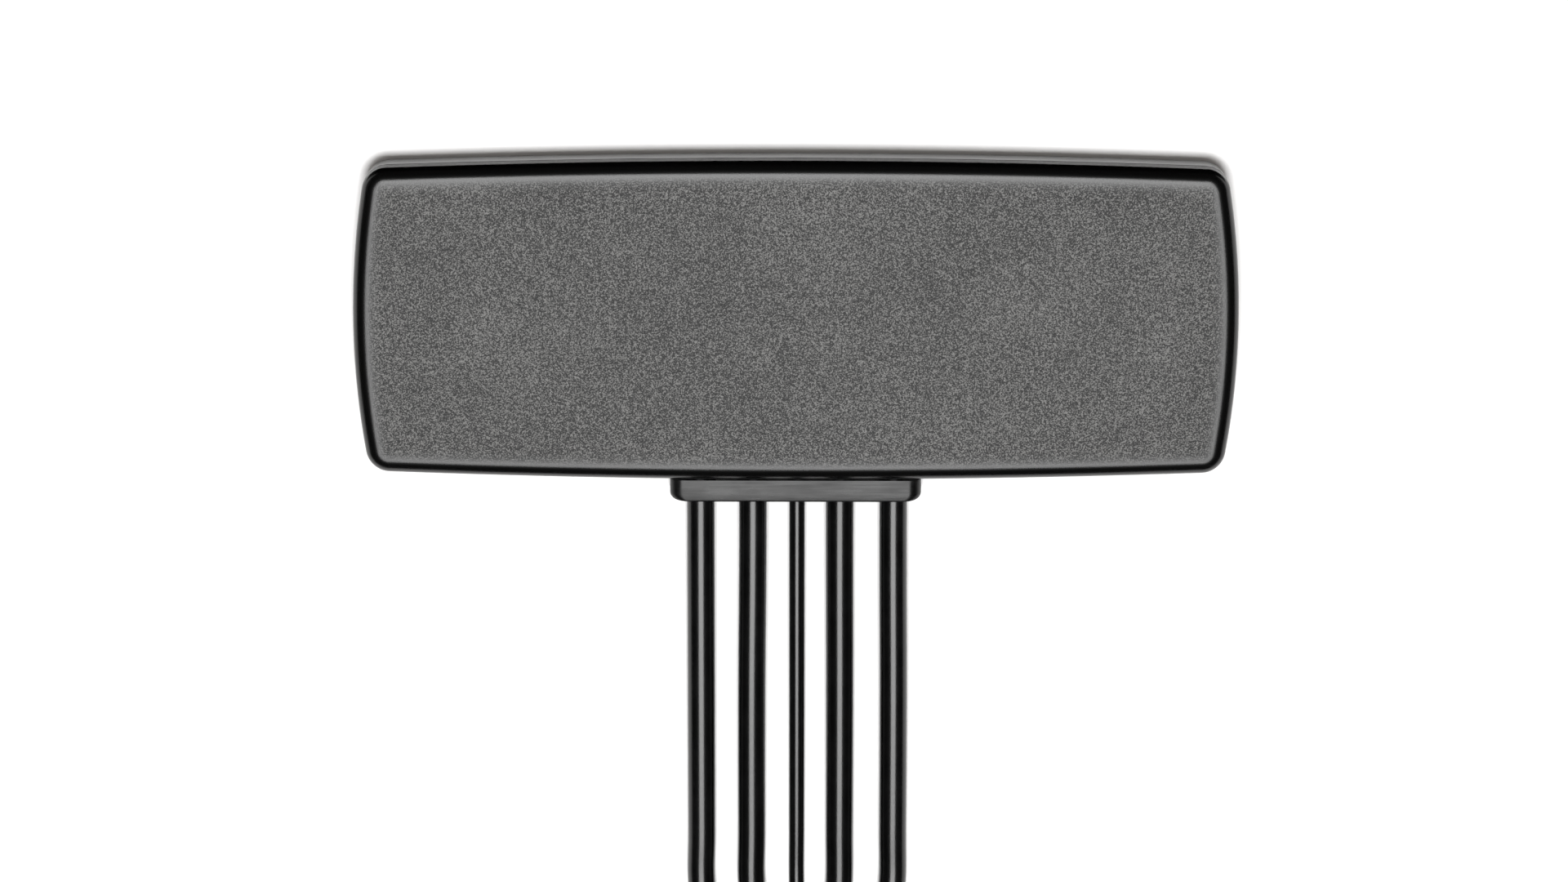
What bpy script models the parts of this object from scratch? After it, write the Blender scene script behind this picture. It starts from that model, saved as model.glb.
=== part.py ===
"""A flat stick-on antenna for cellular, Wi-Fi and satellite positioning, with five coaxial leads.

It lies on its adhesive pad. +Z comes out of its front face, +X runs along its long side, and the leads
leave towards -Y. The origin is under the middle of the housing and its lead gland, on the surface that the
pad sticks to.
"""

import math

import bmesh
import bpy
import numpy as np
from mathutils import Matrix, Vector

MM = 0.001
GAP = 0.3 * MM  # between pieces that touch on the real thing

# Housing, seen from the front
LENGTH = 157.0 * MM
DEPTH = 57.6 * MM
HEIGHT = 12.5 * MM
SIDE_BULGE_RADIUS = 147.5 * MM
LONG_BULGE_RADIUS = 1980.0 * MM
CORNER_RADIUS = 4.4 * MM
EDGE_RADIUS = 2.7 * MM
WALL = 2.4 * MM
PAD_HEIGHT = 0.7 * MM
PAD_INSET = 2.0 * MM
BASE_BOTTOM = PAD_HEIGHT + GAP
BASE_FLOOR = 1.2 * MM
SEAM_Z = 7.0 * MM
CEILING = 11.0 * MM
BOTTOM_CHAMFER = 0.5 * MM
RIM = 1.1 * MM  # outer part of the wall, which hides the seal
RIM_DEPTH = 0.9 * MM
SEAL = (1.4 * MM, 2.2 * MM)  # its outer and inner inset
FLOOR_TOP = BASE_BOTTOM + BASE_FLOOR

# Lead gland, which stands out of the -Y side
GLAND_WIDTH = 45.0 * MM
GLAND_PROUD = 4.5 * MM
GLAND_TOP = 8.8 * MM
GLAND_EDGE_RADIUS = 2.4 * MM
MIDDLE_Y = GLAND_PROUD / 2  # of the housing, which leaves the origin under the whole
FRONT_Y = MIDDLE_Y - DEPTH / 2
GLAND_FRONT = FRONT_Y - GLAND_PROUD
WALL_INSIDE_Y = FRONT_Y + WALL + 0.3 * MM  # past the bulge of the wall

# Leads, from left to right
LEADS = ("lte_a", "wifi_a", "gnss", "wifi_b", "lte_b")
LEAD_D = {name: 2.8 * MM if name == "gnss" else 5.0 * MM for name in LEADS}
LEAD_X = dict(zip(LEADS, (-17.0 * MM, -7.65 * MM, 0.28 * MM, 7.95 * MM, 17.55 * MM)))
REST_X = dict(zip(LEADS, (-17.0 * MM, -7.9 * MM, 0.3 * MM, 8.08 * MM, 17.8 * MM)))  # where they lie down
EXIT_Z = 5.2 * MM
# Its place in the bundle: to the right and up, in half steps
BUNDLE_SEAT = dict(zip(LEADS, ((-1, 1), (-1, -1), (0, 0), (1, -1), (1, 1))))
BUNDLE_HALF = 2.9 * MM
BUNDLE_MID = 5.4 * MM  # height of its middle where it lies on the surface
BUNDLE_OUT = BUNDLE_HALF + 2.5 * MM

# The middle of the bundle: x, y in mm before the coil, and x, y, z after it
LEAD_ROUTE = (
    (0, -31.05), (0, -38), (0, -50), (0, -64), (0, -80), (0, -94), (0, -104),
    (0.4, -112), (1.6, -120), (3.8, -128), (7.0, -136),
)
TAIL_ROUTE = (
    (-14, -124.6, 17.9), (-2, -124.4, 17.9), (11, -125, 17.6), (23.5, -127.6, 15.9), (35, -133, 12.6),
    (44.4, -141.6, 9.2), (50, -152.5, 6.8), (52, -164, 5.6), (52, -175, 5.4), (52, -186, 5.4),
    (52, -197, 5.4), (52, -208, 5.4), (52, -216, 5.4),
)
SPREAD = (4 * MM, 40 * MM)  # where they move to their places on the surface: start and length
DROOP = (4 * MM, 92 * MM)  # where they sink to it
GATHER = (73 * MM, 42 * MM)  # where they come together
FAN = (16 * MM, 50 * MM)  # where they part again, measured back from the end
PLUG_RISE = 34 * MM

# The coil: two flat layers, in and out again, with a half twist between them
COIL_X, COIL_Y = -27.0 * MM, -174.0 * MM
COIL_RADIUS = 49 * MM
COIL_PITCH = 11.3 * MM
COIL_LAYER = 11.4 * MM
COIL_LIFT = 1.1 * MM  # for the ties under it
COIL_START = math.radians(38)
COIL_TURN = math.radians(1028)
COIL_CLIMB = math.radians(150)
COIL_DIP = 3.4 * MM
COIL_STEPS = 72
TIE_ANGLES = (150, 235, 330)
TIE_WIDTH = 12 * MM
TIE_THICK = 0.8 * MM

# Plugs, in a row at the end of the leads
PLUG_ROW = ("wifi_b", "lte_b", "gnss", "lte_a", "wifi_a")
PLUG_PITCH = 10.5 * MM
PLUG_Z = 4.9 * MM
NUT_ACROSS_FLATS = 8.0 * MM
NUT_START, NUT_END = 10.9 * MM, 19.4 * MM

# Boards
BOARD_Z = (FLOOR_TOP + GAP, FLOOR_TOP + GAP + 0.9 * MM)
GNSS_BOARD_Z = (5.6 * MM, 6.4 * MM)
HOUSING_SCREWS = ((-70, -19), (-70, 19), (70, -19), (70, 19))
CLAMP_SCREWS = (-12.6 * MM, 12.6 * MM)
CLAMP_Y = (-20.6 * MM, -16.6 * MM)

FINISHES = {  # colour, roughness, metallic
    "housing": ((0.028, 0.028, 0.028), 0.42, 0.0),
    "gland": ((0.022, 0.022, 0.023), 0.5, 0.0),
    "foam": ((0.05, 0.05, 0.052), 0.9, 0.0),
    "seal": ((0.015, 0.015, 0.015), 0.7, 0.0),
    "jacket": ((0.012, 0.012, 0.012), 0.4, 0.0),
    "strap": ((0.02, 0.02, 0.021), 0.95, 0.0),
    "board": ((0.02, 0.11, 0.05), 0.4, 0.0),
    "ceramic": ((0.62, 0.56, 0.48), 0.5, 0.0),
    "tinned": ((0.6, 0.6, 0.58), 0.35, 1.0),
    "steel": ((0.5, 0.5, 0.5), 0.3, 1.0),
    "brass": ((0.83, 0.62, 0.27), 0.25, 1.0),
}


def clear_scene():
    for old in list(bpy.data.objects):
        bpy.data.objects.remove(old, do_unlink=True)


def new_collection(name):
    made = bpy.data.collections.new(name)
    bpy.context.scene.collection.children.link(made)
    return made


def make_finishes():
    made = {}
    for name, (colour, roughness, metallic) in FINISHES.items():
        material = bpy.data.materials.new(name)
        material.use_nodes = True
        shader = material.node_tree.nodes["Principled BSDF"]
        shader.inputs["Base Color"].default_value = (*colour, 1.0)
        shader.inputs["Roughness"].default_value = roughness
        shader.inputs["Metallic"].default_value = metallic
        made[name] = material
    return made


def add(name, data, finish=None):
    """A new object: a part if it has a finish, else a cutter or a helper."""
    obj = bpy.data.objects.new(name, data)
    if finish:
        PARTS.objects.link(obj)
        data.materials.append(MATERIALS[finish])
    else:
        HELPERS.objects.link(obj)
        obj.hide_render = True
        obj.display_type = "WIRE"
    return obj


def mesh_from(bm, name, smooth_angle=None):
    bmesh.ops.recalc_face_normals(bm, faces=bm.faces)
    mesh = bpy.data.meshes.new(name)
    bm.to_mesh(mesh)
    bm.free()
    if smooth_angle:
        mesh.shade_smooth()
        mesh.set_sharp_from_angle(angle=math.radians(smooth_angle))
    return mesh


def arc(middle, radius, start, end, steps):
    """Points round an arc, without its last one. Angles are in radians."""
    angles = [start + (end - start) * i / steps for i in range(steps)]
    return [Vector(middle) + Vector((radius * math.cos(a), radius * math.sin(a))) for a in angles]


def housing_outline(inset=0.0):
    """The plan of the housing: four bulging sides and round corners, this far inside the outer wall."""
    side_radius = SIDE_BULGE_RADIUS - inset
    long_radius = LONG_BULGE_RADIUS - inset
    corner = max(CORNER_RADIUS - inset, 0.8 * MM)
    side_middle = Vector((LENGTH / 2 - SIDE_BULGE_RADIUS, 0.0))
    long_middle = Vector((0.0, DEPTH / 2 - LONG_BULGE_RADIUS))
    # The corner's middle is where circles round the two sides' middles meet
    apart = (long_middle - side_middle).length
    from_side, from_long = side_radius - corner, long_radius - corner
    along = (from_side**2 - from_long**2 + apart**2) / (2 * apart)
    across = math.sqrt(from_side**2 - along**2)
    way = (long_middle - side_middle) / apart
    corner_middle = side_middle + way * along + Vector((-way.y, way.x)) * across
    if corner_middle.x < 0:
        corner_middle = side_middle + way * along - Vector((-way.y, way.x)) * across
    side_end = math.atan2(corner_middle.y, corner_middle.x - side_middle.x)
    long_start = math.atan2(corner_middle.y - long_middle.y, corner_middle.x)
    quarter = arc(side_middle, side_radius, 0.0, side_end, 5)
    quarter += arc(corner_middle, corner, side_end, long_start, 5)
    quarter += arc(long_middle, long_radius, long_start, math.pi / 2, 5)
    top = Vector((0.0, DEPTH / 2 - inset))
    half = quarter + [top] + [Vector((-p.x, p.y)) for p in reversed(quarter)]
    whole = half + [Vector((p.x, -p.y)) for p in reversed(half[1:-1])]
    return [p + Vector((0.0, MIDDLE_Y)) for p in whole]


def prism(name, outline, low, high, finish=None, top_radius=0.0, bottom_radius=0.0, steps=4, upright=True):
    """An outline with height and a rounded rim. Not upright, its outline is (x, z) and it runs along -Y."""
    bm = bmesh.new()
    face = bm.faces.new([bm.verts.new((p[0], p[1], low)) for p in outline])
    made = bmesh.ops.extrude_face_region(bm, geom=[face])["geom"]
    raised = [v for v in made if isinstance(v, bmesh.types.BMVert)]
    bmesh.ops.translate(bm, vec=(0, 0, high - low), verts=raised)
    for radius, level, segments in ((top_radius, high, steps), (bottom_radius, low, 1)):
        if radius:
            rim = [e for e in bm.edges if all(abs(v.co.z - level) < 1e-7 for v in e.verts)]
            bmesh.ops.bevel(bm, geom=rim, offset=radius, segments=segments, profile=0.5, affect="EDGES")
    if not upright:
        bmesh.ops.transform(bm, matrix=Matrix.Rotation(math.pi / 2, 4, "X"), verts=bm.verts)
    return add(name, mesh_from(bm, name, 35), finish)


def box(name, low, high, finish=None, bevel=0.0):
    bm = bmesh.new()
    bmesh.ops.create_cube(bm, size=1.0)
    size = Vector(high) - Vector(low)
    bmesh.ops.scale(bm, vec=size, verts=bm.verts)
    bmesh.ops.translate(bm, vec=Vector(low) + size / 2, verts=bm.verts)
    if bevel:
        bmesh.ops.bevel(bm, geom=bm.edges, offset=bevel, segments=1, affect="EDGES")
    return add(name, mesh_from(bm, name), finish)


def cylinder(name, radius, low, high, x, y, finish=None, sides=16, along_y=False):
    """Upright from low to high at x, y. Along Y, it runs from y = low to y = high at x and z = y."""
    bm = bmesh.new()
    bmesh.ops.create_cone(
        bm, cap_ends=True, segments=sides, radius1=radius, radius2=radius, depth=high - low
    )
    if along_y:
        bmesh.ops.transform(bm, matrix=Matrix.Rotation(math.pi / 2, 4, "X"), verts=bm.verts)
        bmesh.ops.translate(bm, vec=(x, (low + high) / 2, y), verts=bm.verts)
    else:
        bmesh.ops.translate(bm, vec=(x, y, (low + high) / 2), verts=bm.verts)
    return add(name, mesh_from(bm, name, 40), finish)


def turned(name, profile, place, finish=None, steps=16, hollow=False, towards_y=True):
    """A profile of (radius, distance), down its outer side first, turned round local Z: to -Y or up."""
    mesh = bpy.data.meshes.new(name)
    edges = [(i, i + 1) for i in range(len(profile) - 1)]
    if hollow:
        edges.append((len(profile) - 1, 0))
    mesh.from_pydata([(r, 0.0, z) for r, z in profile], edges, [])
    obj = add(name, mesh, finish)
    screw = obj.modifiers.new("turn", "SCREW")
    screw.steps = screw.render_steps = steps
    screw.use_merge_vertices = True
    screw.merge_threshold = 1e-6
    obj.location = place
    if towards_y:
        obj.rotation_euler = (math.pi / 2, 0.0, 0.0)
    return obj


def boolean(target, operation, *others):
    for other in others:
        modifier = target.modifiers.new(other.name, "BOOLEAN")
        modifier.operation = operation
        modifier.solver = "EXACT"
        modifier.object = other


def ease(t):
    t = min(max(t, 0.0), 1.0)
    return t * t * (3 - 2 * t)


def mix(a, b, t):
    return a + (b - a) * t


def bundle_line():
    """The middle of the bundle from the gland to the plugs: x, y, z and how far it has twisted."""
    line = [(x * MM, y * MM, BUNDLE_MID, 0.0) for x, y in LEAD_ROUTE]
    winding = (COIL_TURN - COIL_CLIMB) / 2
    for i in range(COIL_STEPS + 1):
        turned_by = COIL_TURN * i / COIL_STEPS
        wound = min(turned_by, COIL_TURN - turned_by, winding)
        climbed = min(max((turned_by - winding) / COIL_CLIMB, 0.0), 1.0)
        radius = COIL_RADIUS - COIL_PITCH * wound / math.tau - COIL_DIP * math.sin(math.pi * climbed) ** 2
        angle = COIL_START - turned_by
        line.append((
            COIL_X + radius * math.cos(angle),
            COIL_Y + radius * math.sin(angle),
            BUNDLE_MID + COIL_LIFT * ease((turned_by + 0.5) / 0.8) + COIL_LAYER * ease(climbed),
            math.pi * ease(climbed),
        ))
    return np.array(line + [(x * MM, y * MM, z * MM, math.pi) for x, y, z in TAIL_ROUTE])


def lead_line(name):
    """The points that one lead passes through, from its place in the gland to its plug."""
    line = bundle_line()
    plan = line[:, :2]
    along = np.concatenate([[0.0], np.cumsum(np.linalg.norm(np.diff(plan, axis=0), axis=1))])
    ahead = np.gradient(plan, along, axis=0)
    ahead /= np.linalg.norm(ahead, axis=1)[:, None]
    seat_right, seat_up = BUNDLE_SEAT[name]
    radius = LEAD_D[name] / 2
    slot = (PLUG_ROW.index(name) - 2) * PLUG_PITCH
    points = []
    for (x, y, z, twist), (ahead_x, ahead_y), gone in zip(line, ahead, along):
        left_to_go = along[-1] - gone
        if gone < left_to_go:
            free = mix(LEAD_X[name], REST_X[name], ease((gone - SPREAD[0]) / SPREAD[1]))
            gathered = (gone - GATHER[0]) / GATHER[1]
            lying = mix(EXIT_Z, radius, ease((gone - DROOP[0]) / DROOP[1]))
        else:
            free, gathered = slot, (left_to_go - FAN[0]) / FAN[1]
            lying = mix(radius, PLUG_Z, ease((PLUG_RISE - left_to_go) / (PLUG_RISE - FAN[0])))
        right = (seat_right * math.cos(twist) - seat_up * math.sin(twist)) * BUNDLE_HALF
        up = (seat_right * math.sin(twist) + seat_up * math.cos(twist)) * BUNDLE_HALF
        # The upper pair comes in over the lower one, which closes first
        sideways, upwards = (1.0, 0.55) if name == "gnss" else (1.0, 0.72) if up > 0 else (0.64, 1.0)
        right = mix(free, right, ease(gathered / sideways))
        height = mix(lying, z + up, ease(gathered / upwards))
        points.append((x - ahead_y * right, y + ahead_x * right, height))
    return np.array(points)


def smooth_line(points, per_span):
    """A smooth curve through the points."""
    ends = [2 * points[0] - points[1]], [2 * points[-1] - points[-2]]
    held = np.concatenate([ends[0], points, ends[1]])
    line = []
    for a, b, c, d in zip(held[:-3], held[1:-2], held[2:-1], held[3:]):
        for t in np.arange(per_span) / per_span:
            bend = (2 * a - 5 * b + 4 * c - d) * t + (-a + 3 * b - 3 * c + d) * t * t
            line.append(b + 0.5 * t * (c - a + bend))
    return np.array(line + [points[-1]])


def spaced(line, count):
    """This many points at equal steps along a line."""
    along = np.concatenate([[0.0], np.cumsum(np.linalg.norm(np.diff(line, axis=0), axis=1))])
    wanted = np.linspace(0.0, along[-1], count)
    return np.column_stack([np.interp(wanted, along, line[:, k]) for k in range(3)])


def tube(name, points, radius, finish, resolution=3):
    curve = bpy.data.curves.new(name, "CURVE")
    curve.dimensions = "3D"
    curve.bevel_depth = radius
    curve.bevel_resolution = resolution
    curve.use_fill_caps = True
    spline = curve.splines.new("POLY")
    spline.points.add(len(points) - 1)
    for point, at in zip(spline.points, points):
        point.co = (*at, 1.0)
    return add(name, curve, finish)


def lead_bores(radius_more, low, high):
    """Cutters for the five leads, along Y at the height of the gland."""
    places = [(name, LEAD_D[name] / 2 + radius_more, LEAD_X[name]) for name in LEADS]
    return [cylinder(f"bore_{name}", r, low, high, x, EXIT_Z, along_y=True) for name, r, x in places]


def notch(name, low, high):
    half = GLAND_WIDTH / 2 + GAP
    return box(name, (-half, GLAND_FRONT - 2 * MM, low), (half, WALL_INSIDE_Y, high))


def screw_cutters(name, radius, low, high):
    return [
        cylinder(f"{name}_{i}", radius, low, high, x * MM, MIDDLE_Y + y * MM)
        for i, (x, y) in enumerate(HOUSING_SCREWS)
    ]


def make_cover():
    cover = prism(
        "cover_shell", housing_outline(), SEAM_Z + GAP, HEIGHT, "housing", top_radius=EDGE_RADIUS
    )
    inside = prism("cover_inside", housing_outline(WALL), SEAM_Z - MM, CEILING)
    rabbet = prism("cover_rabbet", housing_outline(RIM), SEAM_Z - MM, SEAM_Z + GAP + RIM_DEPTH)
    boolean(cover, "DIFFERENCE", inside, rabbet, notch("cover_notch", SEAM_Z - MM, GLAND_TOP + GAP))
    boolean(cover, "UNION", *screw_cutters("cover_boss", 2.9 * MM, 6.6 * MM, CEILING + 0.4 * MM))
    boolean(cover, "DIFFERENCE", *screw_cutters("cover_pilot", 1.35 * MM, 6.0 * MM, 10.6 * MM))


def make_base(bores):
    base = prism(
        "base_tray", housing_outline(), BASE_BOTTOM, SEAM_Z, "housing", bottom_radius=BOTTOM_CHAMFER
    )
    inside = prism("base_inside", housing_outline(WALL), FLOOR_TOP, SEAM_Z + MM)
    rabbet = prism("base_rabbet", housing_outline(RIM), SEAM_Z - RIM_DEPTH, SEAM_Z + MM)
    boolean(base, "DIFFERENCE", inside, rabbet, notch("base_notch", 0.0, SEAM_Z + MM))
    inset = 0.4 * MM  # into the floor, so that the union is whole
    saddle = box("saddle", (-23 * MM, CLAMP_Y[0], FLOOR_TOP - inset), (23 * MM, CLAMP_Y[1], EXIT_Z))
    bosses = screw_cutters("base_boss", 3.3 * MM, FLOOR_TOP - inset, 6.2 * MM)
    post_low, post_high = FLOOR_TOP - inset, GNSS_BOARD_Z[0] - GAP
    posts = [
        cylinder(f"gnss_post_{i}", 1.2 * MM, post_low, post_high, x * MM, y * MM, sides=12)
        for i, (x, y) in enumerate(((-11.4, 4.6), (11.4, 4.6), (-11.4, 26.0), (11.4, 26.0)))
    ]
    stakes = [
        cylinder(f"stake_{i}", 1.1 * MM, FLOOR_TOP - inset, BOARD_Z[1] + 0.6 * MM, x, y, sides=10)
        for i, (x, y) in enumerate(stake_places())
    ]
    boolean(base, "UNION", saddle, *bosses, *posts, *stakes)
    boolean(base, "DIFFERENCE", *bores)
    heads = screw_cutters("head_seat", 2.6 * MM, 0.0, 2.6 * MM)
    shanks = screw_cutters("shank_hole", 1.5 * MM, 0.0, 7.0 * MM)
    middle = sum(CLAMP_Y) / 2
    threads = [
        cylinder(f"clamp_pilot_{i}", 1.15 * MM, FLOOR_TOP + 0.3 * MM, 6.0 * MM, x, middle, sides=12)
        for i, x in enumerate(CLAMP_SCREWS)
    ]
    boolean(base, "DIFFERENCE", *heads, *shanks, *threads)


def make_seal_and_pad():
    seal = prism(
        "seal_gasket", housing_outline(SEAL[0]), SEAM_Z - RIM_DEPTH + GAP, SEAM_Z + RIM_DEPTH, "seal"
    )
    boolean(seal, "DIFFERENCE", prism("seal_inside", housing_outline(SEAL[1]), 5 * MM, 9 * MM))
    half = GLAND_WIDTH / 2 + 2 * GAP
    gap = box("seal_notch", (-half, GLAND_FRONT, 5 * MM), (half, WALL_INSIDE_Y + MM, 9 * MM))
    boolean(seal, "DIFFERENCE", gap)
    prism("adhesive_pad", housing_outline(PAD_INSET), 0.0, PAD_HEIGHT, "foam")


def make_gland(bores):
    half, radius = GLAND_WIDTH / 2, GLAND_EDGE_RADIUS
    outline = [Vector((-half, BASE_BOTTOM)), Vector((half, BASE_BOTTOM))]
    outline += arc((half - radius, GLAND_TOP - radius), radius, 0.0, math.pi / 2, 5)
    outline += [Vector((half - radius, GLAND_TOP)), Vector((radius - half, GLAND_TOP))]
    outline += arc((radius - half, GLAND_TOP - radius), radius, math.pi / 2, math.pi, 5)[1:]
    outline.append(Vector((-half, GLAND_TOP - radius)))
    gland = prism("cable_gland", outline, -(WALL_INSIDE_Y - GAP), -GLAND_FRONT, "gland", upright=False)
    flange = box(
        "gland_flange",
        (-half - 2 * MM, WALL_INSIDE_Y + GAP, FLOOR_TOP + GAP),
        (half + 2 * MM, WALL_INSIDE_Y + 2.2 * MM, GLAND_TOP + 0.6 * MM),
    )
    web = box(
        "gland_web",
        (-half + MM, WALL_INSIDE_Y - MM, FLOOR_TOP + GAP),
        (half - MM, WALL_INSIDE_Y + MM, GLAND_TOP - 0.8 * MM),
    )
    boolean(gland, "UNION", web, flange)
    boolean(gland, "DIFFERENCE", *bores)


def stake_places():
    """Where the boards are heat staked to the base."""
    return [(side * x * MM, y * MM) for side in (-1, 1) for x, y in ((30, 24), (62, -13), (20.4, 23))]


def make_boards():
    """Two cellular boards at the ends, two Wi-Fi ones beside the middle, the satellite one between."""
    cellular = (
        (13.4, -11.4), (13.4, -3.6), (27, -3.6), (27, 27), (65.5, 27), (65.5, -17), (27, -17), (27, -11.4),
    )
    wifi = (
        (4.4, -11.4), (4.4, -1.4), (15.4, -1.4), (15.4, 26.8), (25.4, 26.8), (25.4, -2.4), (12.4, -2.4),
        (12.4, -11.4),
    )
    holes = [
        cylinder(f"stake_hole_{i}", 1.45 * MM, 0.0, 5 * MM, x, y, sides=12)
        for i, (x, y) in enumerate(stake_places())
    ]
    for letter, side in (("a", -1), ("b", 1)):
        for kind, outline, fixings in (("lte", cellular, (0, 1)), ("wifi", wifi, (2,))):
            points = [Vector((side * x * MM, y * MM)) for x, y in outline]
            board = prism(f"{kind}_board_{letter}", points, *BOARD_Z, "board")
            first = 0 if side < 0 else 3
            boolean(board, "DIFFERENCE", *[holes[first + i] for i in fixings])
    low, high = GNSS_BOARD_Z
    box("gnss_board", (-13 * MM, 2.4 * MM, low), (13 * MM, 28 * MM, high), "board")
    patch = (-12.5 * MM, 2.8 * MM, high + GAP), (12.5 * MM, 27.6 * MM, CEILING - GAP)
    box("gnss_patch", *patch, "ceramic", 0.2 * MM)
    can = (-8.5 * MM, 8 * MM, 3.2 * MM), (8.5 * MM, 22 * MM, low - GAP)
    box("gnss_shield_can", *can, "tinned", 0.3 * MM)


def make_clamp(bores):
    low, high = EXIT_Z + GAP, 8.6 * MM
    middle = sum(CLAMP_Y) / 2
    half = 22.6 * MM
    bar = box("clamp_bar", (-half, CLAMP_Y[0], low), (half, CLAMP_Y[1], high), "gland", 0.3 * MM)
    holes = [
        cylinder(f"clamp_hole_{i}", 1.4 * MM, 0.0, 12 * MM, x, middle, sides=12)
        for i, x in enumerate(CLAMP_SCREWS)
    ]
    boolean(bar, "DIFFERENCE", *bores, *holes)
    head = high + GAP
    shape = [(0.0, head + 1.2 * MM), (1.9 * MM, head + 1.2 * MM), (1.9 * MM, head), (0.9 * MM, head)]
    shape += [(0.9 * MM, 2.9 * MM), (0.0, 2.9 * MM)]
    for i, x in enumerate(CLAMP_SCREWS):
        turned(f"clamp_screw_{i + 1}", shape, (x, middle, 0.0), "steel", 12, towards_y=False)


def make_housing_screws():
    """Each goes up from under the base into a boss of the cover. Its head lies in a seat, under the pad."""
    shape = [(0.0, 10.2), (1.05, 10.2), (1.05, 2.4), (2.2, 2.4), (2.2, 1.1), (0.0, 1.1)]
    for i, (x, y) in enumerate(HOUSING_SCREWS):
        turned(
            f"housing_screw_{i + 1}", [(r * MM, z * MM) for r, z in shape],
            (x * MM, MIDDLE_Y + y * MM, 0.0), "steel", 12, towards_y=False,
        )


def make_inner_leads():
    """The end of each lead inside the housing: its jacket in the gland, then its core over a board."""
    for name in LEADS:
        radius = LEAD_D[name] / 2
        inside = (1.6 if name == "gnss" else -12.0) * MM - GLAND_FRONT
        shape = [(0.0, 0.0), (radius, 0.0), (radius, -inside), (0.32 * radius, -inside)]
        shape += [(0.32 * radius, -inside - 2.2 * MM), (0.0, -inside - 2.2 * MM)]
        start = (LEAD_X[name], GLAND_FRONT, EXIT_Z)
        if name == "gnss":
            shape = [(0.0, 0.0), (radius, 0.0), (radius, -inside), (0.0, -inside)]
        turned(f"inner_lead_{name}", shape, start, "jacket", 14)


def make_coil():
    inner = COIL_RADIUS - COIL_PITCH * (COIL_TURN - COIL_CLIMB) / 2 / math.tau - COIL_DIP - BUNDLE_OUT
    outer = COIL_RADIUS + BUNDLE_OUT
    low, high = COIL_LIFT, COIL_LIFT + BUNDLE_MID + COIL_LAYER + BUNDLE_OUT
    edge = 2 * MM
    shape = [(outer - edge, high), (outer, high - edge), (outer, low + edge), (outer - edge, low)]
    shape += [(inner + edge, low), (inner, low + edge), (inner, high - edge), (inner + edge, high)]
    turned("lead_coil", shape, (COIL_X, COIL_Y, 0.0), "jacket", 48, hollow=True, towards_y=False)
    for i, degrees in enumerate(TIE_ANGLES):
        make_tie(f"coil_tie_{i + 1}", math.radians(degrees), inner, outer, high)
    return outer


def make_tie(name, angle, inner, outer, high):
    """A strap round the section of the coil."""
    half = TIE_WIDTH / 2
    near = math.sqrt(inner**2 - half**2) - 2 * GAP
    far, top = outer + GAP, high + GAP
    strap = box(name, (near - TIE_THICK, -half, 0.0), (far + TIE_THICK, half, top + TIE_THICK), "strap")
    hole = box(f"{name}_inside", (near, -half - MM, TIE_THICK), (far, half + MM, top))
    for obj in (strap, hole):
        obj.location = (COIL_X, COIL_Y, 0.0)
        obj.rotation_euler = (0.0, 0.0, angle)
    boolean(strap, "DIFFERENCE", hole)


def make_leads(coil_outer):
    """The two stretches of each lead that aren't in the coil."""
    for name in LEADS:
        radius = LEAD_D[name] / 2
        line = smooth_line(lead_line(name), 6)
        from_coil = np.hypot(line[:, 0] - COIL_X, line[:, 1] - COIL_Y)
        in_coil = np.flatnonzero(from_coil < coil_outer + radius + GAP)
        before, after = line[: in_coil[0]], line[in_coil[-1] + 1 :]
        before = before[before[:, 1] < GLAND_FRONT - GAP]
        resolution = 2 if name == "gnss" else 3
        tube(f"lead_{name}", spaced(before, 10), radius, "jacket", resolution)
        tube(f"tail_{name}", spaced(after, 17), radius, "jacket", resolution)
        make_plug(name, Vector(line[-1]))


def make_plug(name, end):
    """A screw-on coaxial plug along -Y from the lead's end: shrink sleeve, body, contact pin and nut."""
    lead = LEAD_D[name] / 2
    neck = lead + 0.3 * MM
    sleeve = [(3.9, 8.6), (3.9, 1.0), (neck / MM + 0.7, -2.0), (neck / MM + 0.6, -12.0)]
    sleeve += [(neck / MM, -12.0), (neck / MM, -0.6), (3.45, -0.2), (3.45, 8.6)]
    turned(f"sleeve_{name}", [(r * MM, z * MM) for r, z in sleeve], end, "jacket", 16, hollow=True)
    body = [(0, 15.0), (0.9, 15.0), (0.9, 18.6), (2.25, 18.6), (2.25, 14.7), (2.8, 14.5), (2.8, 13.3)]
    body += [(2.3, 13.2), (2.3, 10.6), (3.9, 10.5), (3.9, 9.0), (3.1, 8.9), (3.1, 0.3), (0, 0.3)]
    turned(f"plug_body_{name}", [(r * MM, z * MM) for r, z in body], end, "brass", 16)
    pin = [(0, 19.2), (0.3, 19.0), (0.46, 18.4), (0.46, 15.3), (0, 15.3)]
    turned(f"plug_pin_{name}", [(r * MM, z * MM) for r, z in pin], end, "brass", 10)
    make_nut(name, end)


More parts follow.
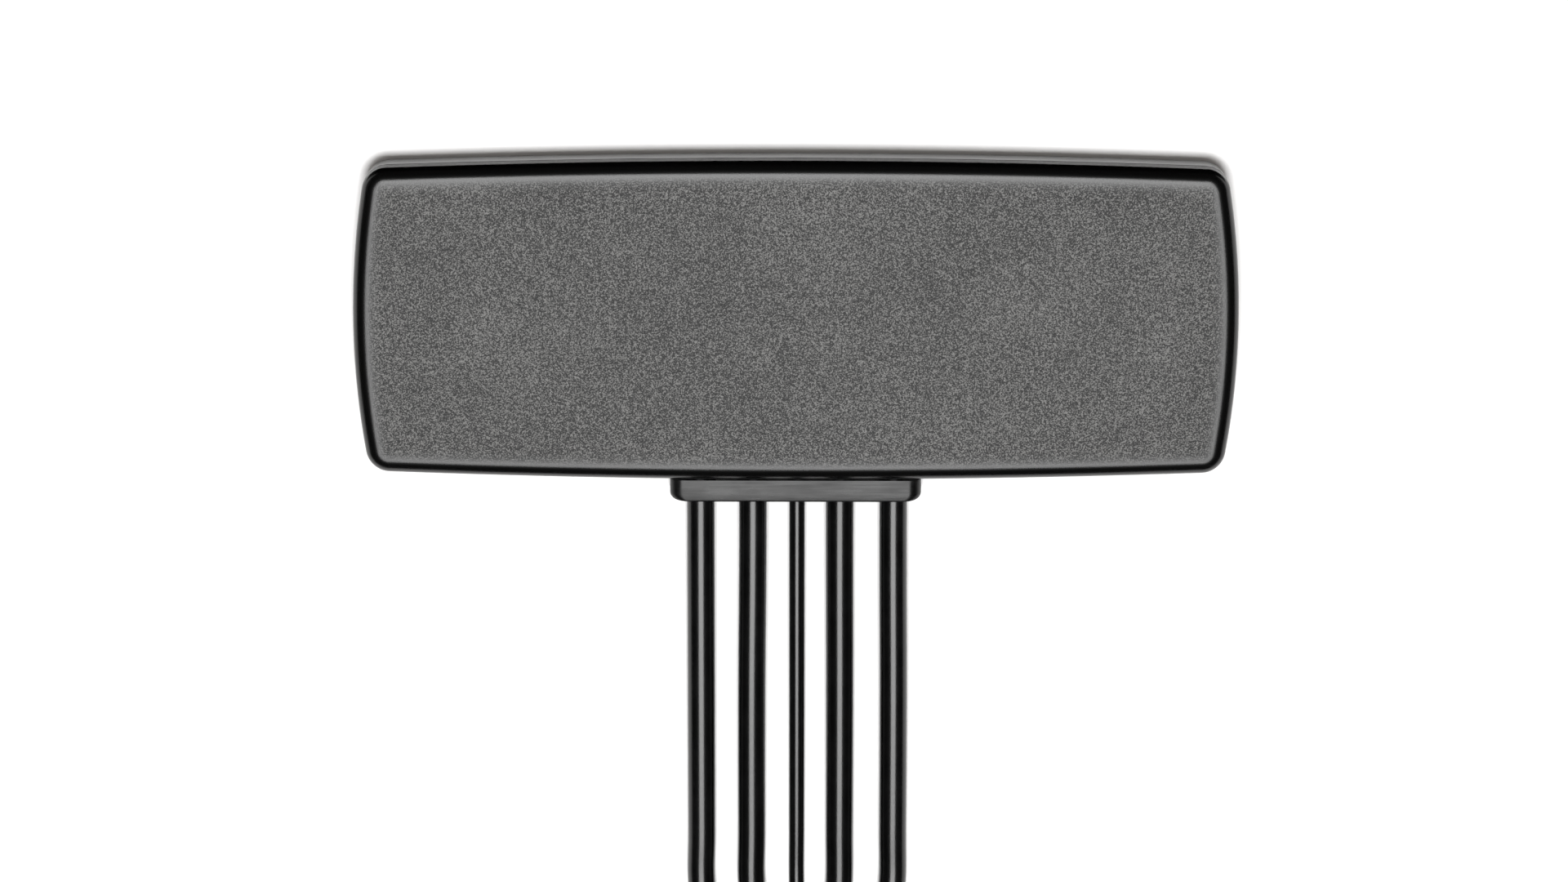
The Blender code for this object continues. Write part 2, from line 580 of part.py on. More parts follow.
def make_nut(name, end):
    """Its origin is on the axis that it turns on."""
    bm = bmesh.new()
    length = NUT_END - NUT_START
    corner = NUT_ACROSS_FLATS / 2 / math.cos(math.pi / 6)
    bmesh.ops.create_cone(bm, cap_ends=True, segments=6, radius1=corner, radius2=corner, depth=length)
    bmesh.ops.translate(bm, vec=(0, 0, NUT_START + length / 2), verts=bm.verts)
    nut = add(f"coupling_nut_{name}", mesh_from(bm, f"coupling_nut_{name}"), "brass")
    nut.location = end
    nut.rotation_euler = (math.pi / 2, 0.0, 0.0)
    bore = [(0, 20.4), (3.1, 20.4), (3.1, 13.0), (2.6, 12.9), (2.6, 9.9), (0, 9.9)]
    hole = turned(f"nut_bore_{name}", [(r * MM, z * MM) for r, z in bore], end, None, 20)
    boolean(nut, "DIFFERENCE", hole)


clear_scene()
PARTS = new_collection("combination_antenna")
HELPERS = new_collection("cutters")
MATERIALS = make_finishes()
lead_holes = lead_bores(GAP, GLAND_FRONT - MM, CLAMP_Y[1] + 2 * MM)
make_cover()
make_base(lead_holes)
make_seal_and_pad()
make_gland(lead_holes)
make_boards()
make_clamp(lead_holes)
make_housing_screws()
make_inner_leads()
make_leads(make_coil())
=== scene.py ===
"""A flat stick-on combination antenna with five coaxial leads: its looks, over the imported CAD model."""

import math

import bmesh
import bpy
import numpy as np
from mathutils import Matrix, Vector


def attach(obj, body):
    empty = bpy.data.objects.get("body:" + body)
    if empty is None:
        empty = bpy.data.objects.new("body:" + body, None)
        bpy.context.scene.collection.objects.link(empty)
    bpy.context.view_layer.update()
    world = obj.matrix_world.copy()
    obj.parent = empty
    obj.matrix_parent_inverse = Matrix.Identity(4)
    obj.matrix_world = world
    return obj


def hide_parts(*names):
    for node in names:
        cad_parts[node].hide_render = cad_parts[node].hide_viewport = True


MM = 0.001
GAP = 0.3 * MM  # between pieces that touch on the real thing
SAME_PLACE = 1e-7

# Housing
LENGTH = 157.0 * MM
DEPTH = 57.6 * MM
HEIGHT = 12.5 * MM
SIDE_BULGE_RADIUS = 147.5 * MM
LONG_BULGE_RADIUS = 1980.0 * MM
CORNER_RADIUS = 4.4 * MM
EDGE_RADIUS = 2.7 * MM
WALL = 2.4 * MM
BASE_BOTTOM = 1.0 * MM
FLOOR_TOP = 2.2 * MM
SEAM_Z = 7.0 * MM
CEILING = 11.0 * MM
RIM = 1.1 * MM
RIM_DEPTH = 0.9 * MM
SEAM_BEVEL = 0.12 * MM
FACE_EASE = 2.4 * MM  # width of the margin in which the flat face falls towards its rounded edge
FACE_FALL = 0.05 * MM
EDGE_STEPS, FACE_STEPS = 14, 6
# The amount of grain also sets how much of the painted glints the housing's base colour shows
WALL_GRAIN = 0.6  # how much of the grain shows: all of it at 1
FACE_GRAIN = ((0.0, 0.05), (1.9 * MM, 0.08), (2.8 * MM, 0.42), (3.6 * MM, 0.8), (4.9 * MM, 1.0))  # by inset

# Gland
GLAND_WIDTH = 45.0 * MM
GLAND_PROUD = 4.5 * MM
GLAND_TOP = 8.8 * MM
GLAND_EDGE_RADIUS = 2.4 * MM
GLAND_CORNER_RADIUS = 1.5 * MM
GLAND_CROWN = 0.2 * MM  # how much lower its top is at the front
GLAND_STEPS = (12, 6)  # round its front corners, and from there to the wall
FRONT_BEVEL = 0.2 * MM
GLAND_GROOVE = (0.55 * MM, 3.0 * MM)  # along the wall: width and depth
MIDDLE_Y = GLAND_PROUD / 2
FRONT_Y = MIDDLE_Y - DEPTH / 2
GLAND_FRONT = FRONT_Y - GLAND_PROUD
WALL_INSIDE_Y = FRONT_Y + WALL + 0.3 * MM

# Leads and their route, as in the CAD model
LEADS = ("lte_a", "wifi_a", "gnss", "wifi_b", "lte_b")
LEAD_D = {name: 2.8 * MM if name == "gnss" else 5.0 * MM for name in LEADS}
LEAD_X = dict(zip(LEADS, (-17.0 * MM, -7.65 * MM, 0.28 * MM, 7.95 * MM, 17.55 * MM)))
REST_X = dict(zip(LEADS, (-17.0 * MM, -7.9 * MM, 0.3 * MM, 8.08 * MM, 17.8 * MM)))
EXIT_Z = 5.2 * MM
BUNDLE_SEAT = dict(zip(LEADS, ((-1, 1), (-1, -1), (0, 0), (1, -1), (1, 1))))
BUNDLE_HALF = 2.9 * MM
BUNDLE_MID = 5.4 * MM  # height of its middle where it lies on the surface
LEAD_ROUTE = (
    (0, -31.05), (0, -38), (0, -50), (0, -64), (0, -80), (0, -94), (0, -104),
    (0.4, -112), (1.6, -120), (3.8, -128), (7.0, -136),
)
TAIL_ROUTE = (
    (-14, -124.6, 17.9), (-2, -124.4, 17.9), (11, -125, 17.6), (23.5, -127.6, 15.9), (35, -133, 12.6),
    (44.4, -141.6, 9.2), (50, -152.5, 6.8), (52, -164, 5.6), (52, -175, 5.4), (52, -186, 5.4),
    (52, -197, 5.4), (52, -208, 5.4), (52, -216, 5.4),
)
SPREAD = (4 * MM, 40 * MM)  # where they move to their places on the surface: start and length
DROOP = (4 * MM, 92 * MM)  # where they sink to it
GATHER = (73 * MM, 42 * MM)  # where they come together
FAN = (16 * MM, 50 * MM)  # where they part again, measured back from the end
LEAD_STEPS = 6  # of the drawn curve, from one point of the route to the next
PLUG_RISE = 34 * MM
COIL_X, COIL_Y = -27.0 * MM, -174.0 * MM
COIL_RADIUS = 49 * MM
COIL_PITCH = 11.3 * MM
COIL_LAYER = 11.4 * MM
COIL_LIFT = 1.1 * MM  # for the ties under it
COIL_START = math.radians(38)
COIL_TURN = math.radians(1028)
COIL_CLIMB = math.radians(150)
COIL_DIP = 3.4 * MM
COIL_STEPS = 72
TIE_ANGLES = (150, 235, 330)
TIE_WIDTH = 12 * MM
TIE_THICK = 0.8 * MM
TIE_BEVEL = (0.25 * MM, 0.18 * MM)  # width and depth
PLUG_ROW = ("wifi_b", "lte_b", "gnss", "lte_a", "wifi_a")
PLUG_PITCH = 10.5 * MM
PLUG_Z = 4.9 * MM
NUT_ACROSS_FLATS = 8.0 * MM
NUT_START, NUT_END = 10.9 * MM, 19.4 * MM

# Camera: it looks down at the face, and leans a little towards the side away from the gland
AIM = Vector((-1.655 * MM, MIDDLE_Y - 21.56 * MM, 11.23 * MM))
CAMERA_TILT = math.radians(12.56)
CAMERA_DISTANCE = 926.4 * MM
CAMERA_TURN = math.radians(-1.056)
CAMERA_ROLL = math.radians(-1.146)
CAMERA_LENS = 119.57

# Stage, in metres: two softboxes that shine straight down, a floor, and a card behind the object
OVERHEAD = {"place": (0.0, -0.14, 1.6), "size": (1.1, 1.52), "brightness": 8.7}
KEY = {"place": (0.0, -0.111, 1.55), "size": (0.33, 0.223), "brightness": 125.0}
WORLD_BRIGHTNESS = 0.03, 0.25, 1.0  # to gloss, to matt surfaces and to the camera
WORLD_WARMTH = (1.0, 0.93, 0.88)  # its colour to matt surfaces
FLOOR_HALF = 6
CARD_NEAR, CARD_FAR = (0.1, 35 * MM), (3, 5.0)  # half its width and its place along Y, at each end
CARD_Z = 0.1 * MM


# ---------------------------------------------------------------- meshes

def new_object(name, data):
    obj = bpy.data.objects.new(name, data)
    bpy.context.scene.collection.objects.link(obj)
    return obj


def mesh_piece(name, verts, faces, material, smooth_angle):
    """A mesh with one material, whose points at one place are joined."""
    mesh = bpy.data.meshes.new(name)
    mesh.from_pydata([tuple(v) for v in verts], [], faces)
    bm = bmesh.new()
    bm.from_mesh(mesh)
    bmesh.ops.remove_doubles(bm, verts=bm.verts, dist=SAME_PLACE)
    bmesh.ops.recalc_face_normals(bm, faces=bm.faces)
    bm.to_mesh(mesh)
    bm.free()
    mesh.shade_smooth()
    mesh.set_sharp_from_angle(angle=math.radians(smooth_angle))
    mesh.materials.append(material)
    return new_object(name, mesh)


def loft(name, rows, material, smooth_angle, loop=False):
    """A skin over closed rows of points, capped at both ends. As a loop, its last row joins its first."""
    count = len(rows[0])
    verts = [p for row in rows for p in row]
    faces = []
    steps = len(rows) if loop else len(rows) - 1
    for i in range(steps):
        a, b = i * count, (i + 1) % len(rows) * count
        faces += [(a + k, a + (k + 1) % count, b + (k + 1) % count, b + k) for k in range(count)]
    if not loop:
        faces += [tuple(range(count)), tuple(range((len(rows) - 1) * count, len(rows) * count))]
    return mesh_piece(name, verts, faces, material, smooth_angle)


def lathe(name, profile, place, material, steps, loop=False, ripple=None, smooth_angle=40):
    """A profile of (radius, distance) in mm turned round an axis that runs from place towards -Y."""
    rows = []
    for radius, gone in profile:
        row = []
        for k in range(steps):
            angle = math.tau * k / steps
            r = max(radius, 0.001) * MM
            if ripple:
                r *= 1 + ripple(angle, gone)
            row.append(Vector(place) + Vector((r * math.cos(angle), -gone * MM, r * math.sin(angle))))
        rows.append(row)
    return loft(name, rows, material, smooth_angle, loop)


def arc(middle, radius, start, end, steps):
    """Points along an arc, without its last one."""
    angles = [start + (end - start) * i / steps for i in range(steps)]
    return [Vector(middle) + Vector((radius * math.cos(a), radius * math.sin(a))) for a in angles]


def housing_outline(inset, steps=(20, 14, 32)):
    """The plan of the housing, this far inside its outer wall. Steps: a side, a corner, a long side."""
    side_radius = SIDE_BULGE_RADIUS - inset
    long_radius = LONG_BULGE_RADIUS - inset
    corner = max(CORNER_RADIUS - inset, 0.8 * MM)
    side_middle = Vector((LENGTH / 2 - SIDE_BULGE_RADIUS, 0.0))
    long_middle = Vector((0.0, DEPTH / 2 - LONG_BULGE_RADIUS))
    apart = (long_middle - side_middle).length
    from_side, from_long = side_radius - corner, long_radius - corner
    along = (from_side**2 - from_long**2 + apart**2) / (2 * apart)
    across = math.sqrt(from_side**2 - along**2)
    way = (long_middle - side_middle) / apart
    corner_middle = side_middle + way * along + Vector((-way.y, way.x)) * across
    if corner_middle.x < 0:
        corner_middle = side_middle + way * along - Vector((-way.y, way.x)) * across
    side_end = math.atan2(corner_middle.y, corner_middle.x - side_middle.x)
    long_start = math.atan2(corner_middle.y - long_middle.y, corner_middle.x)
    quarter = arc(side_middle, side_radius, 0.0, side_end, steps[0])
    quarter += arc(corner_middle, corner, side_end, long_start, steps[1])
    quarter += arc(long_middle, long_radius, long_start, math.pi / 2, steps[2])
    top = Vector((0.0, DEPTH / 2 - inset))
    half = quarter + [top] + [Vector((-p.x, p.y)) for p in reversed(quarter)]
    whole = half + [Vector((p.x, -p.y)) for p in reversed(half[1:-1])]
    return [p + Vector((0.0, MIDDLE_Y)) for p in whole]


def level(inset, z):
    """The housing's outline at one height."""
    return [Vector((p.x, p.y, z)) for p in housing_outline(inset)]


def block(low, high):
    """A cutter or a body to join on, which shape() uses up."""
    bm = bmesh.new()
    bmesh.ops.create_cube(bm, size=1.0)
    size = Vector(high) - Vector(low)
    bmesh.ops.scale(bm, vec=size, verts=bm.verts)
    bmesh.ops.translate(bm, vec=Vector(low) + size / 2, verts=bm.verts)
    return helper(bm)


def rod(radius, low, high, x, z, sides=48):
    """The same along Y."""
    bm = bmesh.new()
    bmesh.ops.create_cone(
        bm, cap_ends=True, segments=sides, radius1=radius, radius2=radius, depth=high - low
    )
    bmesh.ops.transform(bm, matrix=Matrix.Rotation(math.pi / 2, 4, "X"), verts=bm.verts)
    bmesh.ops.translate(bm, vec=(x, (low + high) / 2, z), verts=bm.verts)
    return helper(bm)


def helper(bm):
    mesh = bpy.data.meshes.new("helper")
    bm.to_mesh(mesh)
    bm.free()
    return new_object("helper", mesh)


def shape(obj, steps, smooth_angle):
    """Cuts or joins each helper, and leaves a plain mesh."""
    for i, (operation, other) in enumerate(steps):
        modifier = obj.modifiers.new(f"step_{i}", "BOOLEAN")
        modifier.operation = operation
        modifier.solver = "EXACT"
        modifier.object = other
    graph = bpy.context.evaluated_depsgraph_get()
    mesh = bpy.data.meshes.new_from_object(obj.evaluated_get(graph))
    obj.modifiers.clear()
    material = obj.data.materials[0]
    obj.data = mesh
    mesh.materials.clear()
    mesh.materials.append(material)
    mesh.shade_smooth()
    mesh.set_sharp_from_angle(angle=math.radians(smooth_angle))
    for _, other in steps:
        bpy.data.objects.remove(other)
    return obj


# ---------------------------------------------------------------- the leads' route

def ease(t):
    """From 0 to 1 with a gentle start and end."""
    t = min(max(t, 0.0), 1.0)
    return t * t * (3 - 2 * t)


def mix(a, b, t):
    return a + (b - a) * t


def bundle_line():
    """The middle of the bundle from the gland to the plugs: x, y, z and how far it has twisted."""
    line = [(x * MM, y * MM, BUNDLE_MID, 0.0) for x, y in LEAD_ROUTE]
    winding = (COIL_TURN - COIL_CLIMB) / 2
    for i in range(COIL_STEPS + 1):
        turned_by = COIL_TURN * i / COIL_STEPS
        wound = min(turned_by, COIL_TURN - turned_by, winding)
        climbed = min(max((turned_by - winding) / COIL_CLIMB, 0.0), 1.0)
        radius = COIL_RADIUS - COIL_PITCH * wound / math.tau - COIL_DIP * math.sin(math.pi * climbed) ** 2
        angle = COIL_START - turned_by
        line.append((
            COIL_X + radius * math.cos(angle),
            COIL_Y + radius * math.sin(angle),
            BUNDLE_MID + COIL_LIFT * ease((turned_by + 0.5) / 0.8) + COIL_LAYER * ease(climbed),
            math.pi * ease(climbed),
        ))
    return np.array(line + [(x * MM, y * MM, z * MM, math.pi) for x, y, z in TAIL_ROUTE])


def lead_line(name):
    """The points that one lead passes through, from its place in the gland to its plug."""
    line = bundle_line()
    plan = line[:, :2]
    along = np.concatenate([[0.0], np.cumsum(np.linalg.norm(np.diff(plan, axis=0), axis=1))])
    ahead = np.gradient(plan, along, axis=0)
    ahead /= np.linalg.norm(ahead, axis=1)[:, None]
    seat_right, seat_up = BUNDLE_SEAT[name]
    radius = LEAD_D[name] / 2
    slot = (PLUG_ROW.index(name) - 2) * PLUG_PITCH
    points = []
    for (x, y, z, twist), (ahead_x, ahead_y), gone in zip(line, ahead, along):
        left_to_go = along[-1] - gone
        if gone < left_to_go:
            free = mix(LEAD_X[name], REST_X[name], ease((gone - SPREAD[0]) / SPREAD[1]))
            gathered = (gone - GATHER[0]) / GATHER[1]
            lying = mix(EXIT_Z, radius, ease((gone - DROOP[0]) / DROOP[1]))
        else:
            free, gathered = slot, (left_to_go - FAN[0]) / FAN[1]
            lying = mix(radius, PLUG_Z, ease((PLUG_RISE - left_to_go) / (PLUG_RISE - FAN[0])))
        right = (seat_right * math.cos(twist) - seat_up * math.sin(twist)) * BUNDLE_HALF
        up = (seat_right * math.sin(twist) + seat_up * math.cos(twist)) * BUNDLE_HALF
        # The upper pair comes in over the lower one, which closes first
        sideways, upwards = (1.0, 0.55) if name == "gnss" else (1.0, 0.72) if up > 0 else (0.64, 1.0)
        right = mix(free, right, ease(gathered / sideways))
        height = mix(lying, z + up, ease(gathered / upwards))
        points.append((x - ahead_y * right, y + ahead_x * right, height))
    return np.array(points)


def smooth_line(points, per_span):
    """A smooth curve through the points."""
    ends = [2 * points[0] - points[1]], [2 * points[-1] - points[-2]]
    held = np.concatenate([ends[0], points, ends[1]])
    line = []
    for a, b, c, d in zip(held[:-3], held[1:-2], held[2:-1], held[3:]):
        for t in np.arange(per_span) / per_span:
            bend = (2 * a - 5 * b + 4 * c - d) * t + (-a + 3 * b - 3 * c + d) * t * t
            line.append(b + 0.5 * t * (c - a + bend))
    return np.array(line + [points[-1]])


def tube(name, points, radius, material):
    """A round curve of one open spline."""
    curve = bpy.data.curves.new(name, "CURVE")
    curve.dimensions = "3D"
    curve.bevel_depth = radius
    curve.bevel_resolution = 8
    curve.use_fill_caps = True
    spline = curve.splines.new("POLY")
    spline.points.add(len(points) - 1)
    for point, at in zip(spline.points, points):
        point.co = (*at, 1.0)
    spline.use_smooth = True
    curve.materials.append(material)
    return new_object(name, curve)


# ---------------------------------------------------------------- materials

class Nodes:
    """A short way to write a node tree."""

    def __init__(self, name):
        self.material = bpy.data.materials.new(name)
        self.material.use_nodes = True
        self.tree = self.material.node_tree
        self.shader = self.tree.nodes["Principled BSDF"]
        self.place = self.new("ShaderNodeTexCoord").outputs["Object"]

    def new(self, kind, **settings):
        node = self.tree.nodes.new(kind)
        for key, value in settings.items():
            setattr(node, key, value)
        return node

    def put(self, socket, value):
        if isinstance(value, bpy.types.NodeSocket):
            self.tree.links.new(value, socket)
        else:
            socket.default_value = value

    def set(self, **values):
        """Sockets of the shader by name, with _ for a space."""
        for key, value in values.items():
            if isinstance(value, tuple) and len(value) == 3:
                value = (*value, 1.0)
            self.put(self.shader.inputs[key.replace("_", " ")], value)
        return self

    def noise(self, per_mm, detail, rough=0.5, place=None):
        node = self.new("ShaderNodeTexNoise")
        self.put(node.inputs["Vector"], place or self.place)
        node.inputs["Scale"].default_value = per_mm * 1000
        node.inputs["Detail"].default_value = detail
        node.inputs["Roughness"].default_value = rough
        return node.outputs["Fac"]

    def cells(self, per_mm, randomness=1.0):
        node = self.new("ShaderNodeTexVoronoi")
        self.put(node.inputs["Vector"], self.place)
        node.inputs["Scale"].default_value = per_mm * 1000
        node.inputs["Randomness"].default_value = randomness
        return node.outputs["Distance"]

    def waves(self, per_mm, direction):
        """Bands. At a scale of 1 the texture has 20 of them in a length of tau."""
        node = self.new("ShaderNodeTexWave", bands_direction=direction)
        self.put(node.inputs["Vector"], self.place)
        node.inputs["Scale"].default_value = per_mm * 1000 * math.tau / 20
        return node.outputs["Fac"]

    def stretched(self, scale):
        """The place, scaled along each axis, for a texture with marks in one direction."""
        node = self.new("ShaderNodeMapping")
        node.inputs["Scale"].default_value = scale
        self.put(node.inputs["Vector"], self.place)
        return node.outputs[0]

    def math(self, operation, a, b):
        node = self.new("ShaderNodeMath", operation=operation)
        self.put(node.inputs[0], a)
        self.put(node.inputs[1], b)
        return node.outputs[0]

    def between(self, value, low, high, out_low=0.0, out_high=1.0):
        node = self.new("ShaderNodeMapRange")
        for socket, given in zip(node.inputs, (value, low, high, out_low, out_high)):
            self.put(socket, given)
        return node.outputs[0]

    def blend(self, amount, a, b):
        node = self.new("ShaderNodeMix", data_type="RGBA")
        self.put(node.inputs["Factor"], amount)
        for key, value in (("A", a), ("B", b)):
            socket = [s for s in node.inputs if s.name == key and s.type == "RGBA"][0]
            self.put(socket, (*value, 1.0) if isinstance(value, tuple) else value)
        return [s for s in node.outputs if s.type == "RGBA"][0]

    def bump(self, height, depth_mm, strength, under=None):
        node = self.new("ShaderNodeBump")
        self.put(node.inputs["Height"], height)
        node.inputs["Distance"].default_value = depth_mm * MM
        node.inputs["Strength"].default_value = strength
        if under is not None:
            self.put(node.inputs["Normal"], under)
        return node.outputs["Normal"]

    def attribute(self, name):
        return self.new("ShaderNodeAttribute", attribute_name=name).outputs["Fac"]


def moulded():
    """Black plastic with a spark-eroded grain and painted glints of it, which fade out towards the face's
    rounded edge.
    """
    n = Nodes("moulded_black")
    worn = n.attribute("grain")
    cloud = n.math("MULTIPLY", n.noise(0.05, 2.0), 0.1)
    # The grain's pattern: it sets the roughness, and where the painted glints fall
    grain_glint_mask = n.between(n.math("ADD", n.noise(4.6, 1.0), cloud), 0.49, 0.71)
    pits = n.cells(3.6)
    height = n.math("ADD", n.noise(4.6, 2.0, 0.6), n.math("MULTIPLY", pits, 0.5))
    # Painted glints: the light specks in the base colour stand for light glinting off the grain, not a
    # colour of the plastic
    painted_glints = n.math("MULTIPLY", grain_glint_mask, n.math("POWER", worn, 2.0))
    n.set(Base_Color=n.blend(painted_glints, (0.0007, 0.0007, 0.0007), (0.102, 0.101, 0.0975)))
    n.set(Roughness=n.between(worn, 0.0, 1.0, 0.2, n.between(grain_glint_mask, 0.0, 1.0, 0.66, 0.5)), IOR=1.5)
    bump = n.bump(height, 0.045, 1.0)
    n.put(bump.node.inputs["Strength"], n.math("MULTIPLY", worn, 0.9))
    n.set(Normal=bump)
    return n.material


def satin():
    """Smooth black nylon with a cloudy sheen and faint marks along its length."""
    n = Nodes("satin_black")
    grain = n.noise(4.0, 2.0, 0.6)
    cloud = n.between(n.noise(0.11, 3.0, 0.6), 0.35, 0.65, -0.05, 0.05)
    marks = n.noise(1.8, 3.0, 0.6, n.stretched((0.06, 1.0, 1.0)))
    n.set(Base_Color=n.blend(grain, (0.001, 0.001, 0.001), (0.003, 0.003, 0.003)))
    n.set(Roughness=n.math("ADD", cloud, n.between(marks, 0.35, 0.65, 0.38, 0.26)), IOR=1.36)
    n.set(Normal=n.bump(marks, 0.02, 0.4, n.bump(grain, 0.012, 0.5)))
    return n.material


def jacket():
    """Extruded black polyethylene, with a fine grain and faint scuffs."""
    n = Nodes("lead_jacket")
    grain = n.noise(3.4, 3.0, 0.6)
    scuff = n.noise(0.22, 4.0, 0.6)
    n.set(Base_Color=n.blend(n.between(scuff, 0.4, 0.75), (0.0008, 0.0008, 0.0009), (0.003, 0.003, 0.0032)))
    n.set(Roughness=n.between(grain, 0.35, 0.65, 0.26, 0.18))
    n.set(Normal=n.bump(grain, 0.02, 0.5), IOR=1.5)
    return n.material


def shrink():
    """Heat-shrunk tube with soft ripples."""
    n = Nodes("shrink_sleeve")
    ripple = n.noise(0.35, 3.0, 0.55)
    fine = n.noise(5.0, 2.0)
    n.set(Base_Color=n.blend(ripple, (0.004, 0.004, 0.0042), (0.011, 0.011, 0.011)))
    n.set(Roughness=n.between(ripple, 0.3, 0.7, 0.42, 0.55), IOR=1.48)
    n.set(Normal=n.bump(fine, 0.012, 0.4, n.bump(ripple, 0.12, 0.4)))
    return n.material


def gold(name="gold_plate"):
    """Gold plate over turned brass: the tool's marks run round the axis, Y."""
    n = Nodes(name)
    swirl = n.noise(0.5, 4.0, 0.6)
    turned = n.noise(2.4, 3.0, 0.6, n.stretched((0.25, 6.0, 0.25)))
    n.set(Base_Color=n.blend(n.between(swirl, 0.35, 0.7), (0.72, 0.5, 0.2), (0.86, 0.64, 0.3)))
    n.set(Metallic=1.0, Roughness=n.between(turned, 0.3, 0.7, 0.2, 0.34))
    n.set(Normal=n.bump(turned, 0.006, 0.5))
    return n.material


def steel(name="zinc_steel", colour=(0.5, 0.5, 0.49), roughness=(0.24, 0.4)):
    n = Nodes(name)
    grain = n.noise(1.6, 4.0, 0.6)
    n.set(Base_Color=n.blend(grain, tuple(0.8 * c for c in colour), colour))
    n.set(Metallic=1.0, Roughness=n.between(grain, 0.3, 0.7, *roughness), Normal=n.bump(grain, 0.008, 0.4))
    return n.material


def strap():
    """Hook-and-loop strap: a ribbed weave with a short nap."""
    n = Nodes("woven_strap")
    ribs = n.waves(1.6, "Z")
    cross = n.waves(1.6, "X")
    nap = n.noise(4.0, 4.0, 0.7)
    weave = n.math("ADD", n.math("MULTIPLY", ribs, cross), n.math("MULTIPLY", nap, 0.9))
    n.set(Base_Color=n.blend(n.between(weave, 0.3, 1.3), (0.004, 0.004, 0.0043), (0.02, 0.02, 0.0212)))
    n.set(Roughness=0.92, Sheen_Weight=0.2, Sheen_Roughness=0.5, IOR=1.45)
    n.set(Normal=n.bump(weave, 0.18, 0.8))
    return n.material


def board():
    """Green varnish over copper areas and a faint weave."""
    n = Nodes("circuit_board")
    weave = n.math("MULTIPLY", n.waves(1.1, "X"), n.waves(1.1, "Y"))
    copper = n.between(n.cells(0.16, 0.9), 0.44, 0.46)
    n.set(Base_Color=n.blend(copper, (0.01, 0.09, 0.035), (0.02, 0.15, 0.06)))
    n.set(Roughness=n.between(weave, 0.0, 1.0, 0.3, 0.42), Normal=n.bump(weave, 0.01, 0.4), Coat_Weight=0.3)
    return n.material


def ceramic():
    n = Nodes("fired_ceramic")
    grain = n.noise(2.2, 4.0, 0.6)
    n.set(Base_Color=n.blend(grain, (0.5, 0.44, 0.36), (0.66, 0.6, 0.52)))
    n.set(Roughness=n.between(grain, 0.3, 0.7, 0.45, 0.6), Normal=n.bump(grain, 0.02, 0.4))
    return n.material


def foam():
    n = Nodes("foam_tape")
    cells = n.cells(3.0)
    n.set(Base_Color=n.blend(cells, (0.02, 0.02, 0.021), (0.05, 0.05, 0.052)))
    n.set(Roughness=0.95, Normal=n.bump(cells, 0.06, 0.6))
    return n.material


def rubber():
    n = Nodes("seal_rubber")
    grain = n.noise(2.0, 3.0, 0.6)
    n.set(Base_Color=n.blend(grain, (0.01, 0.01, 0.01), (0.02, 0.02, 0.02)))
    n.set(Roughness=n.between(grain, 0.3, 0.7, 0.6, 0.75), Normal=n.bump(grain, 0.02, 0.4))
    return n.material


# ---------------------------------------------------------------- pieces

def done(obj, body, slot, *nodes):
    """The piece rides on a body and stands for these CAD nodes."""
    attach(obj, body)
    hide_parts(*nodes)
    return obj


def make_cover():
    """A shell with a rounded edge, notched for the gland."""
    low = SEAM_Z + GAP
    face = HEIGHT - FACE_FALL
    rows = [level(WALL, CEILING), level(WALL, low + RIM_DEPTH), level(RIM, low + RIM_DEPTH)]
    rows += [level(RIM, low), level(SEAM_BEVEL, low), level(0.0, low + SEAM_BEVEL)]
    for i in range(EDGE_STEPS + 1):
        tilt = math.pi / 2 * i / EDGE_STEPS
        rows.append(level(EDGE_RADIUS * (1 - math.cos(tilt)), face - EDGE_RADIUS * (1 - math.sin(tilt))))
    for i in range(1, FACE_STEPS + 1):
        t = i / FACE_STEPS
        rows.append(level(EDGE_RADIUS + FACE_EASE * t, face + FACE_FALL * (1 - (1 - t) ** 2)))
    cover = loft("cover", rows, MATERIAL["housing"], 50)
    half = GLAND_WIDTH / 2 + GAP
    notch = block((-half, GLAND_FRONT - 2 * MM, SEAM_Z - MM), (half, WALL_INSIDE_Y, GLAND_TOP + GAP))
    shape(cover, [("DIFFERENCE", notch)], 50)
    mark_grain(cover)
    done(cover, "antenna", "housing", "cover_shell")


def mark_grain(cover):
    """Stores how grainy each point is, from how far it is inside the outer wall: the edge is polished."""
    insets, grains = zip(*FACE_GRAIN)
    low = HEIGHT - FACE_FALL - EDGE_RADIUS
    values = []
    for p in cover.data.vertices:
        up = p.co.z - low
        if up < MM / 1000:
            values.append(WALL_GRAIN)
            continue
        if up <= EDGE_RADIUS:
            inset = EDGE_RADIUS - math.sqrt(max(EDGE_RADIUS**2 - up**2, 0.0))
        else:
            inset = EDGE_RADIUS + FACE_EASE * (1 - math.sqrt(max(1 - (up - EDGE_RADIUS) / FACE_FALL, 0.0)))
        values.append(float(np.interp(inset, insets, grains)))
    attribute = cover.data.attributes.new("grain", "FLOAT", "POINT")
    attribute.data.foreach_set("value", values)


